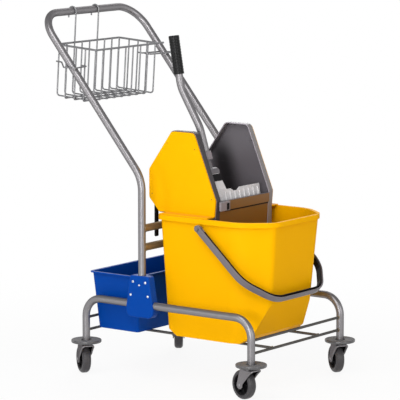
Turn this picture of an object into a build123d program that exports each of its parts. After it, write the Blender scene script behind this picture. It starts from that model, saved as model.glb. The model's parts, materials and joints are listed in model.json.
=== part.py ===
from build123d import *
import os
from math import acos, atan2, cos, degrees, hypot, radians, sin, tan

os.makedirs("parts", exist_ok=True)

# Frame: +X is the way the trolley is pushed, +Y its left side, +Z up, in millimetres.
# The origin lies on the floor, midway between the four caster posts.
RIGHT = -1
LEFT = 1
FRONT = 1
REAR = -1
both_sides = (RIGHT, LEFT)

# General clearances
seat_gap = 0.3
running_clearance = 0.05

# Base frame of bent steel tube
wheelbase = 590.0
track = 445.0
tube_d = 22.0
tube_wall = 1.5
rail_z = 230.0
rail_bend_r = 55.0
rod_d = 8.0
lower_rod_z = 132.5
rod_pitch = 37.0
support_rod_spread = 230.0
bumper_d = 89.0
bumper_h = 9.0
bumper_edge_r = 3.5

# Casters
wheel_d = 84.0
tyre_w = 26.0
tyre_edge_r = 8.5
hub_d = 57.0
hub_w = 22.0
hub_boss_d = 18.0
hub_dish_depth = 7.0
hub_dish_margin = 4.0
axle_d = 8.0
axle_head_d = 10.0
axle_head_h = 2.0
caster_trail = 30.0
fork_side_gap = 2.0
fork_leg_t = 3.0
fork_top_gap = 3.0
fork_plate_h = 3.5
fork_crown_d = 46.0
fork_crown_h = 6.5
fork_back_reach = 20.0
fork_front_reach = 28.0
fork_eye_r = 12.0
fork_leg_hollow = 4.5
stem_d = 11.0
stem_collar_d = 22.0
stem_collar_h = 2.1
socket_h = 40.0
caster_heading = {
    "rear_right": 145.0,
    "rear_left": 126.0,
    "front_right": 166.0,
    "front_left": 144.0,
}

# Push handle
upright_x = -88.7
handle_foot_gap = 1.0
handle_knee_z = 593.0
handle_knee_r = 100.0
handle_lean = 39.7
handle_top_z = 1044.0
handle_corner_r = 80.0
upper_brace_z = 450.0
lower_brace_z = 395.0

# Clamshell brackets that join each upright to its side rail
bracket_top_w = 66.0
bracket_base_w = 96.0
bracket_rise = 85.0
bracket_drop = 36.0
bracket_shoulder = 5.0
bracket_half_t = 14.0
bracket_corner_r = 7.0
bracket_foot_r = 18.0
bracket_edge_r = 3.0
bracket_screw_d = 4.2
bracket_screw_head_d = 8.0
bracket_screw_head_h = 2.6
bracket_screw_l = 21.0
bracket_top_screw_spread = 44.0
bracket_top_screw_rise = 67.0
bracket_low_screw_spread = 62.0
bracket_low_screw_rise = 28.0
bracket_mid_screw_rise = 58.0

# Yellow bucket
bucket_wall = 3.0
bucket_floor = 4.0
bucket_rim_z = 488.0
bucket_top_rear_x = -63.0
bucket_top_shoulder_x = 215.0
bucket_top_front_x = 296.0
bucket_top_w = 348.0
bucket_top_front_w = 220.0
bucket_base_rear_x = -49.0
bucket_base_shoulder_x = 195.0
bucket_base_front_x = 266.0
bucket_base_w = 308.0
bucket_base_front_w = 192.0
bucket_rear_r = 12.0
bucket_shoulder_r = 100.0
bucket_front_r = 26.0
bucket_facet_top_x = 276.0
bucket_facet_top_z = 252.0
bucket_facet_low_x = 230.0
bucket_facet_low_z = 158.0
bucket_facet_base_x = 198.0
bucket_heel_l = 32.0
bucket_heel_h = 21.0
bucket_lip_w = 7.0
bucket_lip_h = 14.0
bucket_lip_t = 3.0
bucket_lip_front_r = 60.0

# Bail handle of the yellow bucket
bail_pivot_x = 86.0
bail_pivot_z = 462.0
bail_droop = 42.0
bail_reach = 288.0
bail_shoulder = 208.0
bail_front_w = 226.0
bail_corner_r = 85.0
bail_w = 12.0
bail_depth = 20.0
bail_groove_w = 6.0
bail_groove_depth = 9.0
bail_eye_d = 20.0
bail_pin_d = 8.0
bail_pin_head_d = 12.0
bail_pin_head_h = 2.0
bail_boss_d = 16.0
bail_lip_gap = 4.0

# Blue bucket
tray_wall = 2.5
tray_floor = 3.0
tray_rim_z = 304.0
tray_top_rear_x = -293.0
tray_top_front_x = -126.0
tray_top_w = 396.0
tray_base_rear_x = -279.0
tray_base_front_x = -133.0
tray_base_w = 370.0
tray_corner_r = 9.0
tray_lip_w = 7.0
tray_lip_h = 4.0
tray_lip_t = 2.5

# Wringer
wringer_w = 284.0
cheek_top_z = 727.0
cheek_top_rear_x = -45.0
cheek_top_front_x = 36.0
cheek_front_x = 114.0
cheek_front_z = 537.0
cheek_foot_x = 110.0
cheek_rear_x = -127.0
cheek_rear_high_z = 612.0
cheek_rear_low_z = 528.0
cheek_ledge_x = -90.0
cheek_inner_x = -50.0
cheek_base_z = 440.0
cheek_corner_r = 18.0
cover_depth = 5.0
cover_inset = 2.5
cover_t = 2.0
cover_foot_rear_x = -62.0
cover_foot_front_x = 106.0
cover_foot_h = 3.2
cover_skirt_h = 8.0
cover_foot_seat = 4.5
shell_depth = 18.0
shell_t = 3.0
cover_screw_head_d = 7.0
cover_screw_head_h = 0.7
cover_screw_d = 3.0
cover_screw_places = [(-60.0, 690.0), (38.0, 678.0), (-114.0, 540.0), (98.0, 540.0)]

# Wringer chute between the two cheeks
chute_t = 4.0
chute_front_top = (109.0, 530.0)
chute_front_base = (104.0, 436.0)
chute_rear_base = (-34.0, 432.0)
chute_rear_ledge = (-46.0, 488.0)
chute_rear_top = (-110.0, 606.0)
crossbar_t = 10.0
crossbar_h = 26.0
slot_w = 8.0
slot_pitch = 22.0
slot_count = 9
slot_margin = 20.0
latch_w = 44.0
latch_overhang = 8.0
latch_t = 7.0
latch_slot_w = 8.0
latch_slot_h = 18.0
hook_t = 7.0
hook_w = 12.0
hook_base_z = 415.0
hook_brace_gap = 3.3

# Lever, its stub shaft and the press plate
pivot_x = 42.0
pivot_z = 605.0
shaft_d = 16.0
shaft_head_d = 26.0
shaft_head_h = 2.5
shaft_boss_d = 32.0
shaft_boss_l = 42.0
bush_t = 2.0
hub_body_d = 27.0
hub_body_l = 47.0
retainer_d = 22.0
retainer_h = 4.0
neck_d = 16.0
socket_d = 28.0
socket_base_l = 36.0
socket_l = 62.0
lever_socket_floor = 42.0
lever_low_bend = (2.0, 733.0)
lever_high_bend = (-66.0, 844.0)
lever_top = (-90.5, 986.0)
lever_bend_r = 110.0
grip_d = 31.0
grip_l = 112.0
grip_cap = 5.0
grip_rib_count = 12
grip_groove_depth = 1.2
grip_groove_w = 3.0
plate_top = (78.0, 558.0)
plate_base = (94.0, 452.0)
plate_t = 5.0
plate_w = 224.0
plate_dip = 8.0
plate_dip_w = 18.0
plate_dip_run = 14.0
plate_dip_y = -6.0
plate_rib_count = 10
plate_rib_w = 3.5
plate_rib_t = 2.5
riser_w = 40.0
riser_t = 12.0

# Wire basket on the push handle
basket_d = 137.0
basket_w = 283.0
basket_h = 150.0
basket_rim_drop = 92.0
basket_tilt = 3.8
basket_rim_d = 6.0
basket_wire_d = 4.5
basket_bend_r = 9.0
basket_rim_r = 5.0
long_wire_count = 9
cross_wire_count = 3
rim_tail_l = 27.0
right_hook_y = -70.0
left_hook_y = 35.0
hook_tail = 20.0
bar_gap = 0.2
right_clasp_drop = 50.0
right_clasp_rear = 0.0
left_clasp_drop = 37.0
left_clasp_rear = 68.0
clasp_front = 103.0
clasp_root_l = 20.0
clasp_leg_gap = 4.0

# Values worked out from the sizes above
tube_r = tube_d / 2
tube_bore = tube_d - 2 * tube_wall
post_x = wheelbase / 2
rail_y = track / 2
wheel_r = wheel_d / 2
crown_base_z = wheel_d + fork_top_gap
crown_top_z = crown_base_z + fork_crown_h
post_base_z = crown_top_z + stem_collar_h + seat_gap
upper_rod_z = lower_rod_z + rod_pitch
bracket_pin_screw_l = bracket_half_t - tube_r - seat_gap
bucket_base_z = lower_rod_z + rod_d / 2 + seat_gap
handle_top_x = upright_x - (handle_top_z - handle_knee_z) * tan(radians(handle_lean))
wringer_y = wringer_w / 2
shell_y = wringer_y - cover_depth
chute_y = shell_y - shell_depth
rim_seat_z = bucket_rim_z + seat_gap
cover_foot_y = bucket_top_w / 2 - bucket_wall + cover_foot_seat


def save(node, *solids):
    """Writes one node as a STEP file of one or more separate solids."""
    shape = solids[0] if len(solids) == 1 else Compound(children=list(solids))
    export_step(shape, f"parts/{node}.step")


def only(shape):
    """The single solid of a shape."""
    return shape.solids()[0]


def bar(start, end, d):
    """A round bar between two points."""
    start = Vector(*start)
    end = Vector(*end)
    section = Plane(origin=start, z_dir=end - start) * Circle(d / 2)
    return extrude(section, (end - start).length)


def bent(points, radii, d, wall=0.0):
    """A bent round tube, or wire where it has no wall, along straight runs and tangent arcs."""
    path = FilletPolyline(*points, radius=radii)
    plane = Plane(origin=path @ 0, z_dir=path % 0)
    section = Circle(d / 2)
    if wall:
        section -= Circle(d / 2 - wall)
    return only(sweep(plane * section, path))


def across(x, z, d, y_from, y_to):
    """A round bar along Y."""
    return bar((x, y_from, z), (x, y_to, z), d)


def side_plane(y):
    """A sketch plane at a given Y whose local axes are X and Z, looking along +Y."""
    return Plane(origin=(0, y, 0), x_dir=(1, 0, 0), z_dir=(0, -1, 0))


def outline(points, r=0.0):
    """A closed outline of straight sides, with its corners rounded."""
    shape = make_face(Polyline(*points, close=True))
    if r:
        shape = fillet(shape.vertices(), r)
    return shape


def slab(face, y_from, y_to):
    """An outline in X and Z made thick between two values of Y."""
    return extrude(side_plane(y_from) * face, -(y_to - y_from))


def boxed_plan(rear, front, width, r, grow, z):
    """A rounded rectangle at a height, grown or shrunk all round."""
    shape = RectangleRounded(front - rear + 2 * grow, width + 2 * grow, r + grow)
    return Pos((rear + front) / 2, 0, z) * shape


def bowed_plan(rear, shoulder, front, width, front_w, front_r, grow, z):
    """A plan with square rear corners and its front drawn in on both sides, grown or shrunk all round."""
    turn = atan2((width - front_w) / 2, front - shoulder)
    bend_x = shoulder + grow * tan(turn / 2)
    nose_x = front + grow
    nose_y = front_w / 2 + grow * tan(radians(45) - turn / 2)
    side_y = width / 2 + grow
    left = [(rear - grow, side_y), (bend_x, side_y), (nose_x, nose_y)]
    right = [(x, -y) for x, y in reversed(left)]
    shape = make_face(Polyline(*left, *right, close=True))
    for x, r in ((rear - grow, bucket_rear_r), (bend_x, bucket_shoulder_r), (nose_x, front_r)):
        shape = fillet(shape.vertices().filter_by_position(Axis.X, x - seat_gap, x + seat_gap), r + grow)
    return Pos(0, 0, z) * shape


def tub(plan, top, base, z_top, z_base, wall, floor):
    """The outer and inner solids of a straight-walled tub between two plans."""
    share = floor / (z_top - z_base)
    inner_base = [b + (t - b) * share for t, b in zip(top, base)]
    outer = loft([plan(*base, 0, z_base), plan(*top, 0, z_top)], ruled=True)
    inner = loft([plan(*inner_base, -wall, z_base + floor), plan(*top, -wall, z_top)], ruled=True)
    return outer, inner


def turned_lip(plan, top, z_top, width, height, thickness):
    """A rim turned outwards and down around a tub."""
    lip = extrude(plan(*top, width, z_top - height), height)
    hollow = extrude(plan(*top, width - thickness, z_top - height), height - thickness)
    return lip - hollow


# Base frame
def side_rail(side):
    y = side * rail_y
    points = [(-post_x, y, post_base_z), (-post_x, y, rail_z), (post_x, y, rail_z), (post_x, y, post_base_z)]
    return bent(points, rail_bend_r, tube_d, tube_wall)


def cross_rod(x, z):
    rod = across(x, z, rod_d, -rail_y, rail_y)
    for side in both_sides:
        rod -= bar((x, side * rail_y, z - rod_d), (x, side * rail_y, z + rod_d), tube_d)
    return only(rod)


def support_rod(y):
    rod = bar((-post_x, y, lower_rod_z), (post_x, y, lower_rod_z), rod_d)
    for x in (-post_x, post_x):
        rod -= across(x, lower_rod_z, rod_d, y - rod_d, y + rod_d)
    return only(rod)


def bumper(x, y):
    disc = Pos(x, y, post_base_z + bumper_h / 2) * Cylinder(bumper_d / 2, bumper_h)
    disc = fillet(disc.edges(), bumper_edge_r)
    return only(disc - Pos(x, y, post_base_z + bumper_h / 2) * Cylinder(tube_r, bumper_h))


def stem_socket(x, y):
    centre = Pos(x, y, post_base_z + socket_h / 2)
    sleeve = Cylinder(tube_bore / 2, socket_h) - Cylinder(stem_d / 2 + running_clearance, socket_h)
    return only(centre * sleeve)


posts = {
    "rear_right": (-post_x, RIGHT * rail_y),
    "rear_left": (-post_x, LEFT * rail_y),
    "front_right": (post_x, RIGHT * rail_y),
    "front_left": (post_x, LEFT * rail_y),
}

save("right_side_rail", side_rail(RIGHT))
save("left_side_rail", side_rail(LEFT))
save("front_cross_rods", cross_rod(post_x, upper_rod_z), cross_rod(post_x, lower_rod_z))
save("rear_cross_rods", cross_rod(-post_x, upper_rod_z), cross_rod(-post_x, lower_rod_z))
save("bucket_support_rods", *[support_rod(side * support_rod_spread / 2) for side in both_sides])
save("post_bumpers", *[bumper(x, y) for x, y in posts.values()])
save("stem_sockets", *[stem_socket(x, y) for x, y in posts.values()])


# Casters, each modelled with its trail along +X at the origin and then turned to its heading
def at_axle():
    return Pos(caster_trail, 0, wheel_r) * Rot(90, 0, 0)


def caster_tyre():
    tread = fillet(Cylinder(wheel_r, tyre_w).edges(), tyre_edge_r)
    return at_axle() * (tread - Cylinder(hub_d / 2, tyre_w))


def caster_hub():
    boss_l = tyre_w + 2 * (fork_side_gap - seat_gap)
    body = Cylinder(hub_d / 2, hub_w) + Cylinder(hub_boss_d / 2, boss_l)
    dish = Cylinder(hub_d / 2 - hub_dish_margin, hub_dish_depth) - Cylinder(hub_boss_d / 2, hub_dish_depth)
    for side in both_sides:
        body -= Pos(0, 0, side * (hub_w - hub_dish_depth) / 2) * dish
    return at_axle() * (body - Cylinder(axle_d / 2 + running_clearance, boss_l))


def caster_axle():
    outer = tyre_w / 2 + fork_side_gap + fork_leg_t
    axle = Cylinder(axle_d / 2, 2 * outer)
    for side in both_sides:
        head = Pos(0, 0, side * (outer + axle_head_h / 2)) * Cylinder(axle_head_d / 2, axle_head_h)
        axle += chamfer(head.edges().sort_by(Axis.Z)[-1 if side > 0 else 0], axle_head_h / 4)
    return at_axle() * axle


def fork_hollow():
    """What the rear edge of a fork leg is drawn in by, between the crown and the axle eye."""
    run = caster_trail + fork_back_reach
    rise = crown_base_z - wheel_r
    touch = atan2(rise, -run) + acos(fork_eye_r / hypot(run, rise))
    low = (caster_trail + fork_eye_r * cos(touch), wheel_r + fork_eye_r * sin(touch))
    high = (-fork_back_reach, crown_base_z)
    return make_face([SagittaArc(low, high, -fork_leg_hollow), Line(high, low)])


def caster_fork():
    inner = tyre_w / 2 + fork_side_gap
    outer = inner + fork_leg_t
    crown = Pos(0, 0, crown_base_z + fork_crown_h / 2) * Cylinder(fork_crown_d / 2, fork_crown_h)
    crown = fillet(crown.edges().sort_by(Axis.Z)[-1], fork_plate_h / 2)
    bridge_l = fork_back_reach + fork_front_reach
    bridge = Pos((fork_front_reach - fork_back_reach) / 2, 0, crown_base_z + fork_plate_h / 2)
    body = crown + bridge * Box(bridge_l, 2 * outer, fork_plate_h)
    leg = make_hull(
        Polyline(
            (-fork_back_reach, crown_base_z),
            (fork_front_reach, crown_base_z),
            (fork_front_reach, crown_base_z + fork_plate_h),
            (-fork_back_reach, crown_base_z + fork_plate_h),
            close=True,
        ).edges()
        + (Pos(caster_trail, wheel_r) * Circle(fork_eye_r)).edges()
    )
    leg -= fork_hollow()
    for y in (-outer, inner):
        body += slab(leg, y, y + fork_leg_t)
    body -= at_axle() * Cylinder(axle_d / 2, 3 * outer)
    return body - Pos(0, 0, crown_base_z + fork_crown_h / 2) * Cylinder(stem_d / 2, 2 * fork_crown_h)


def caster_stem():
    pin_top = post_base_z + socket_h - seat_gap
    pin = bar((0, 0, crown_base_z), (0, 0, pin_top), stem_d)
    collar = bar((0, 0, crown_top_z), (0, 0, crown_top_z + stem_collar_h), stem_collar_d)
    return pin + collar


for corner, (x, y) in posts.items():
    place = Pos(x, y, 0) * Rot(0, 0, caster_heading[corner])
    save(f"{corner}_caster_fork", only(place * caster_fork()))
    save(f"{corner}_caster_stem", only(place * caster_stem()))
    save(f"{corner}_wheel_axle", only(place * caster_axle()))
    save(f"{corner}_wheel_hub", only(place * caster_hub()))
    save(f"{corner}_wheel_tyre", only(place * caster_tyre()))


# Push handle and its braces
def push_handle():
    foot_z = rail_z + tube_r + handle_foot_gap
    right_leg = [
        (upright_x, RIGHT * rail_y, foot_z),
        (upright_x, RIGHT * rail_y, handle_knee_z),
        (handle_top_x, RIGHT * rail_y, handle_top_z),
    ]
    left_leg = [(x, -y, z) for x, y, z in reversed(right_leg)]
    radii = [handle_knee_r, handle_corner_r, handle_corner_r, handle_knee_r]
    return bent(right_leg + left_leg, radii, tube_d, tube_wall)


def brace(z):
    tube = across(upright_x, z, tube_d, -rail_y, rail_y)
    tube -= across(upright_x, z, tube_bore, -rail_y, rail_y)
    for side in both_sides:
        tube -= bar((upright_x, side * rail_y, z - tube_d), (upright_x, side * rail_y, z + tube_d), tube_d)
    return tube.solids().sort_by(SortBy.VOLUME)[-1]


save("push_handle", push_handle())
save("upper_brace", brace(upper_brace_z))
save("lower_brace", brace(lower_brace_z))


# Brackets
bracket_screws = [
    (-bracket_top_screw_spread / 2, bracket_top_screw_rise, bracket_screw_l),
    (bracket_top_screw_spread / 2, bracket_top_screw_rise, bracket_screw_l),
    (0.0, bracket_mid_screw_rise, bracket_pin_screw_l),
    (-bracket_low_screw_spread / 2, bracket_low_screw_rise, bracket_screw_l),
    (bracket_low_screw_spread / 2, bracket_low_screw_rise, bracket_screw_l),
]


def bracket_half(side, away):
    """One half of a bracket; away is the way along Y from the joint plane."""
    y = side * rail_y
    shape = outline(
        [
            (upright_x - bracket_top_w / 2, rail_z + bracket_rise),
            (upright_x + bracket_top_w / 2, rail_z + bracket_rise),
            (upright_x + bracket_base_w / 2, rail_z - bracket_shoulder),
            (upright_x + bracket_base_w / 2, rail_z - bracket_drop),
            (upright_x - bracket_base_w / 2, rail_z - bracket_drop),
            (upright_x - bracket_base_w / 2, rail_z - bracket_shoulder),
        ]
    )
    shape = fillet(shape.vertices().group_by(Axis.Y)[0], bracket_foot_r)
    high = shape.vertices().filter_by(lambda v: v.Y > rail_z - 2 * bracket_shoulder)
    shape = fillet(high, bracket_corner_r)
    half = slab(shape, y, y + away * bracket_half_t)
    face = half.faces().sort_by(Axis.Y)[-1 if away > 0 else 0]
    half = fillet(face.edges(), bracket_edge_r)
    half -= bar((upright_x - bracket_base_w, y, rail_z), (upright_x + bracket_base_w, y, rail_z), tube_d)
    half -= bar((upright_x, y, rail_z), (upright_x, y, rail_z + 2 * bracket_rise), tube_d)
    for dx, dz, length in bracket_screws:
        half -= bracket_screw(side, dx, dz, length)
    return only(half)


def bracket_screw(side, dx, dz, length):
    x = upright_x + dx
    z = rail_z + dz
    face_y = side * (rail_y + bracket_half_t)
    head = across(x, z, bracket_screw_head_d, face_y, face_y + side * bracket_screw_head_h)
    rim = head.edges().sort_by(Axis.Y)[-1 if side > 0 else 0]
    head = fillet(rim, bracket_screw_head_h / 2)
    tip_y = face_y - side * length
    return head + across(x, z, bracket_screw_d, tip_y, face_y + side * bracket_screw_head_h / 2)


for name, side in (("right", RIGHT), ("left", LEFT)):
    save(f"{name}_bracket_outer", bracket_half(side, side))
    save(f"{name}_bracket_inner", bracket_half(side, -side))

all_screws = [only(bracket_screw(side, *screw)) for side in both_sides for screw in bracket_screws]
save("bracket_screws", *all_screws)


# Yellow bucket
bucket_top = (
    bucket_top_rear_x,
    bucket_top_shoulder_x,
    bucket_top_front_x,
    bucket_top_w,
    bucket_top_front_w,
    bucket_front_r,
)
bucket_base = (
    bucket_base_rear_x,
    bucket_base_shoulder_x,
    bucket_base_front_x,
    bucket_base_w,
    bucket_base_front_w,
    bucket_front_r,
)
bucket_lip_plan = bucket_top[:-1] + (bucket_lip_front_r,)
bail_arm_y = bucket_top_w / 2 + bucket_lip_w + bail_lip_gap + bail_w / 2
bail_boss_y = bail_arm_y - bail_w / 2 - seat_gap
bail_pin_tip_y = bail_boss_y - bail_lip_gap - bucket_lip_w


def beyond(low, high, way, inset):
    """All that lies past a sloping line in X and Z, towards +X or -X, moved in by a wall."""
    slope = atan2(high[0] - low[0], high[1] - low[1])
    shift = way * inset / cos(slope)
    reach = bucket_rim_z
    points = [
        (low[0] - reach * tan(slope) - shift, low[1] - reach),
        (low[0] - reach * tan(slope) + way * reach, low[1] - reach),
        (high[0] + reach * tan(slope) + way * reach, high[1] + reach),
        (high[0] + reach * tan(slope) - shift, high[1] + reach),
    ]
    return slab(make_face(Polyline(*points, close=True)), -bucket_top_w, bucket_top_w)


def yellow_bucket():
    walls = (bucket_rim_z, bucket_base_z, bucket_wall, bucket_floor)
    outer, inner = tub(bowed_plan, bucket_top, bucket_base, *walls)
    facet_top = (bucket_facet_top_x, bucket_facet_top_z)
    facet_low = (bucket_facet_low_x, bucket_facet_low_z)
    facet_base = (bucket_facet_base_x, bucket_base_z)
    heel_base = (bucket_base_rear_x + bucket_heel_l, bucket_base_z)
    heel_top = (bucket_base_rear_x, bucket_base_z + bucket_heel_h)
    facets = ((facet_low, facet_top, FRONT), (facet_base, facet_low, FRONT), (heel_base, heel_top, REAR))
    for low, high, way in facets:
        outer -= beyond(low, high, way, 0)
        inner -= beyond(low, high, way, bucket_wall)
    lip = turned_lip(bowed_plan, bucket_lip_plan, bucket_rim_z, bucket_lip_w, bucket_lip_h, bucket_lip_t)
    body = outer + lip
    for side in both_sides:
        body += across(bail_pivot_x, bail_pivot_z, bail_boss_d, side * bail_pin_tip_y, side * bail_boss_y)
    body -= inner
    for side in both_sides:
        body -= across(bail_pivot_x, bail_pivot_z, bail_pin_d, side * bail_pin_tip_y, side * bail_boss_y)
    return body.solids().sort_by(SortBy.VOLUME)[-1]


def bail_pin(side):
    head_y = bail_arm_y + bail_w / 2 + seat_gap
    end_y = head_y + bail_pin_head_h
    pin = across(bail_pivot_x, bail_pivot_z, bail_pin_d, side * bail_pin_tip_y, side * head_y)
    head = across(bail_pivot_x, bail_pivot_z, bail_pin_head_d, side * head_y, side * end_y)
    return only(pin + head)


def bail():
    plane = Plane(
        origin=(bail_pivot_x, 0, bail_pivot_z),
        x_dir=(cos(radians(bail_droop)), 0, -sin(radians(bail_droop))),
        z_dir=(sin(radians(bail_droop)), 0, cos(radians(bail_droop))),
    )
    start = bail_eye_d / 2 - bail_w / 2
    left = [(start, bail_arm_y), (bail_shoulder, bail_arm_y), (bail_reach, bail_front_w / 2)]
    right = [(u, -v) for u, v in reversed(left)]
    path = plane * FilletPolyline(*left, *right, radius=bail_corner_r)
    section = Rectangle(bail_w, bail_depth)
    section = fillet(section.vertices(), bail_w / 4)
    section -= Pos(0, (bail_depth - bail_groove_depth) / 2) * Rectangle(bail_groove_w, bail_groove_depth)
    bow = sweep(Plane(origin=path @ 0, x_dir=(0, 1, 0), z_dir=path % 0) * section, path)
    for side in both_sides:
        inside = side * (bail_arm_y - bail_w / 2)
        outside = side * (bail_arm_y + bail_w / 2)
        bow += across(bail_pivot_x, bail_pivot_z, bail_eye_d, inside, outside)
    for side in both_sides:
        bore = bail_pin_d + 2 * running_clearance
        bow -= across(bail_pivot_x, bail_pivot_z, bore, 0, side * 2 * bail_arm_y)
    return only(bow)


save("yellow_bucket", yellow_bucket())
save("bail_pins", bail_pin(RIGHT), bail_pin(LEFT))
save("bail_handle", bail())


# Blue bucket
def blue_bucket():
    top = (tray_top_rear_x, tray_top_front_x, tray_top_w, tray_corner_r)
    base = (tray_base_rear_x, tray_base_front_x, tray_base_w, tray_corner_r)
    outer, inner = tub(boxed_plan, top, base, tray_rim_z, bucket_base_z, tray_wall, tray_floor)
    lip = turned_lip(boxed_plan, top, tray_rim_z, tray_lip_w, tray_lip_h, tray_lip_t)
    return only(outer + lip - inner)


save("blue_bucket", blue_bucket())


# Wringer cheeks: yellow covers outside, grey shells inside
cheek_upper = [
    (cheek_ledge_x, rim_seat_z),
    (cheek_rear_x, cheek_rear_low_z),
    (cheek_rear_x, cheek_rear_high_z),
    (cheek_top_rear_x, cheek_top_z),
    (cheek_top_front_x, cheek_top_z),
    (cheek_front_x, cheek_front_z),
    (cheek_foot_x, rim_seat_z),
]
cheek_lower = [(cheek_foot_x, cheek_base_z), (cheek_inner_x, cheek_base_z), (cheek_inner_x, rim_seat_z)]
shell_boss_reach = shell_t + shaft_boss_l


def cheek_face(points):
    """A cheek's outline, its corners above the rim rounded."""
    shape = make_face(Polyline(*points, close=True))
    high = shape.vertices().filter_by(lambda v: v.Y > rim_seat_z + cheek_corner_r)
    return fillet(high, cheek_corner_r)


def cheek_cover(side):
    face = offset(cheek_face(cheek_upper), -cover_inset, kind=Kind.INTERSECTION)
    body = slab(face, side * shell_y, side * wringer_y)
    body -= slab(offset(face, -cover_t, kind=Kind.INTERSECTION), side * shell_y, side * (wringer_y - cover_t))
    foot_l = cover_foot_front_x - cover_foot_rear_x
    foot_w = cover_foot_y - wringer_y + cover_t
    foot_y = side * (cover_foot_y - foot_w / 2)
    foot_x = (cover_foot_front_x + cover_foot_rear_x) / 2
    body += Pos(foot_x, foot_y, rim_seat_z + cover_foot_h / 2) * Box(foot_l, foot_w, cover_foot_h)
    skirt_y = side * (wringer_y - cover_t / 2)
    body += Pos(foot_x, skirt_y, rim_seat_z + cover_skirt_h / 2) * Box(foot_l, cover_t, cover_skirt_h)
    for x, z in cover_screw_places:
        body -= cover_screw(side, x, z)
    return only(body)


def cover_screw(side, x, z):
    face_y = side * wringer_y
    seat_y = face_y - side * cover_t / 2
    head = across(x, z, cover_screw_head_d, seat_y, seat_y + side * cover_screw_head_h)
    shank = across(x, z, cover_screw_d, side * (shell_y - shell_t), face_y)
    return only(head + shank)


def cheek_shell(side):
    face = cheek_face(cheek_upper + cheek_lower)
    body = slab(face, side * shell_y, side * chute_y)
    body -= slab(offset(face, -shell_t, kind=Kind.INTERSECTION), side * (shell_y - shell_t), side * chute_y)
    if side == RIGHT:
        boss_end = side * (shell_y - shell_boss_reach)
        body += across(pivot_x, pivot_z, shaft_boss_d, side * shell_y, boss_end)
        body -= across(pivot_x, pivot_z, shaft_d, side * wringer_y, boss_end)
    for x, z in cover_screw_places:
        body -= cover_screw(side, x, z)
    return only(body)


for name, side in (("right", RIGHT), ("left", LEFT)):
    save(f"{name}_cheek_cover", cheek_cover(side))
    save(f"{name}_cheek_shell", cheek_shell(side))
save("cover_screws", *[cover_screw(side, x, z) for side in both_sides for x, z in cover_screw_places])


# Wringer chute, latch and rear hooks
def along(start, end, share):
    return tuple(a + (b - a) * share for a, b in zip(start, end))


def slot_row(start, end):
    """Cutters for a row of slots across a wall that runs from start to end in X and Z."""
    run = hypot(end[0] - start[0], end[1] - start[1])
    tilt = degrees(atan2(end[1] - start[1], end[0] - start[0]))
    middle = along(start, end, 0.5)
    cutter = Box(run - 2 * slot_margin, slot_w, 3 * chute_t)
    cutter = fillet(cutter.edges().filter_by(Axis.Z), slot_w / 2 - seat_gap)
    first = -slot_pitch * (slot_count - 1) / 2
    return [
        Pos(middle[0], first + i * slot_pitch, middle[1]) * Rot(0, -tilt, 0) * cutter
        for i in range(slot_count)
    ]


def wringer_chute():
    line = Polyline(chute_front_top, chute_front_base, chute_rear_base, chute_rear_ledge, chute_rear_top)
    body = slab(trace(line, line_width=chute_t), -chute_y, chute_y)
    bar_x = chute_front_top[0]
    bar_z = chute_front_top[1] + chute_t / 2 - crossbar_h / 2
    body += Pos(bar_x, 0, bar_z) * Box(crossbar_t, 2 * chute_y, crossbar_h)
    for cutter in slot_row(chute_rear_base, chute_front_base) + slot_row(chute_rear_ledge, chute_rear_top):
        body -= cutter
    return only(body)


def latch_block():
    x = chute_front_top[0] + crossbar_t / 2 + latch_t / 2
    y = RIGHT * (chute_y + latch_overhang - latch_w / 2)
    z = chute_front_top[1] + chute_t / 2 - crossbar_h / 2
    block = Box(latch_t, latch_w, crossbar_h)
    block = fillet(block.edges().filter_by(Axis.X), latch_t / 4)
    slot_y = latch_w / 2 - latch_slot_w
    block -= Pos(latch_t / 4, slot_y, 0) * Box(latch_t / 2, latch_slot_w, latch_slot_h)
    return only(Pos(x, y, z) * block)


def rear_hook(side):
    """A tongue that hangs behind the upper brace and meets the sloping foot of the cheek."""
    front_x = upright_x - tube_r - hook_brace_gap
    rear_x = front_x - hook_t
    slope = (rim_seat_z - cheek_rear_low_z) / (cheek_ledge_x - cheek_rear_x)
    shape = make_face(
        Polyline(
            (rear_x, hook_base_z),
            (front_x, hook_base_z),
            (front_x, rim_seat_z + (front_x - cheek_ledge_x) * slope),
            (rear_x, rim_seat_z + (rear_x - cheek_ledge_x) * slope),
            close=True,
        )
    )
    low = shape.vertices().sort_by(Axis.Y)[:2]
    shape = fillet(low, hook_t / 2 - seat_gap)
    return only(slab(shape, side * shell_y, side * (shell_y - hook_w)))


save("wringer_chute", wringer_chute())
save("wringer_latch", latch_block())
save("rear_hooks", rear_hook(RIGHT), rear_hook(LEFT))

# Lever and press plate, turning about the stub shaft on the right cheek
hub_right_y = RIGHT * (shell_y - shell_boss_reach - seat_gap)
hub_left_y = hub_right_y + hub_body_l
lever_y = (hub_right_y + hub_left_y) / 2
bush_d = shaft_d + 2 * (running_clearance + bush_t)
lever_pivot = (pivot_x, pivot_z)


def spatial(point, y):
    return (point[0], y, point[1])


def pivot_shaft():
    head_y = RIGHT * shell_y
    end_y = hub_left_y + seat_gap + retainer_h
    shaft = across(pivot_x, pivot_z, shaft_d, head_y + RIGHT * shaft_head_h, end_y)
    return only(shaft + across(pivot_x, pivot_z, shaft_head_d, head_y + RIGHT * shaft_head_h, head_y))


def shaft_retainer():
    start_y = hub_left_y + seat_gap
    ring = across(pivot_x, pivot_z, retainer_d, start_y, start_y + retainer_h)
    return only(ring - across(pivot_x, pivot_z, shaft_d, start_y, start_y + retainer_h))


def lever_bush():
    sleeve = across(pivot_x, pivot_z, bush_d, hub_right_y, hub_left_y)
    bore = shaft_d + 2 * running_clearance
    return only(sleeve - across(pivot_x, pivot_z, bore, hub_right_y, hub_left_y))


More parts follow.
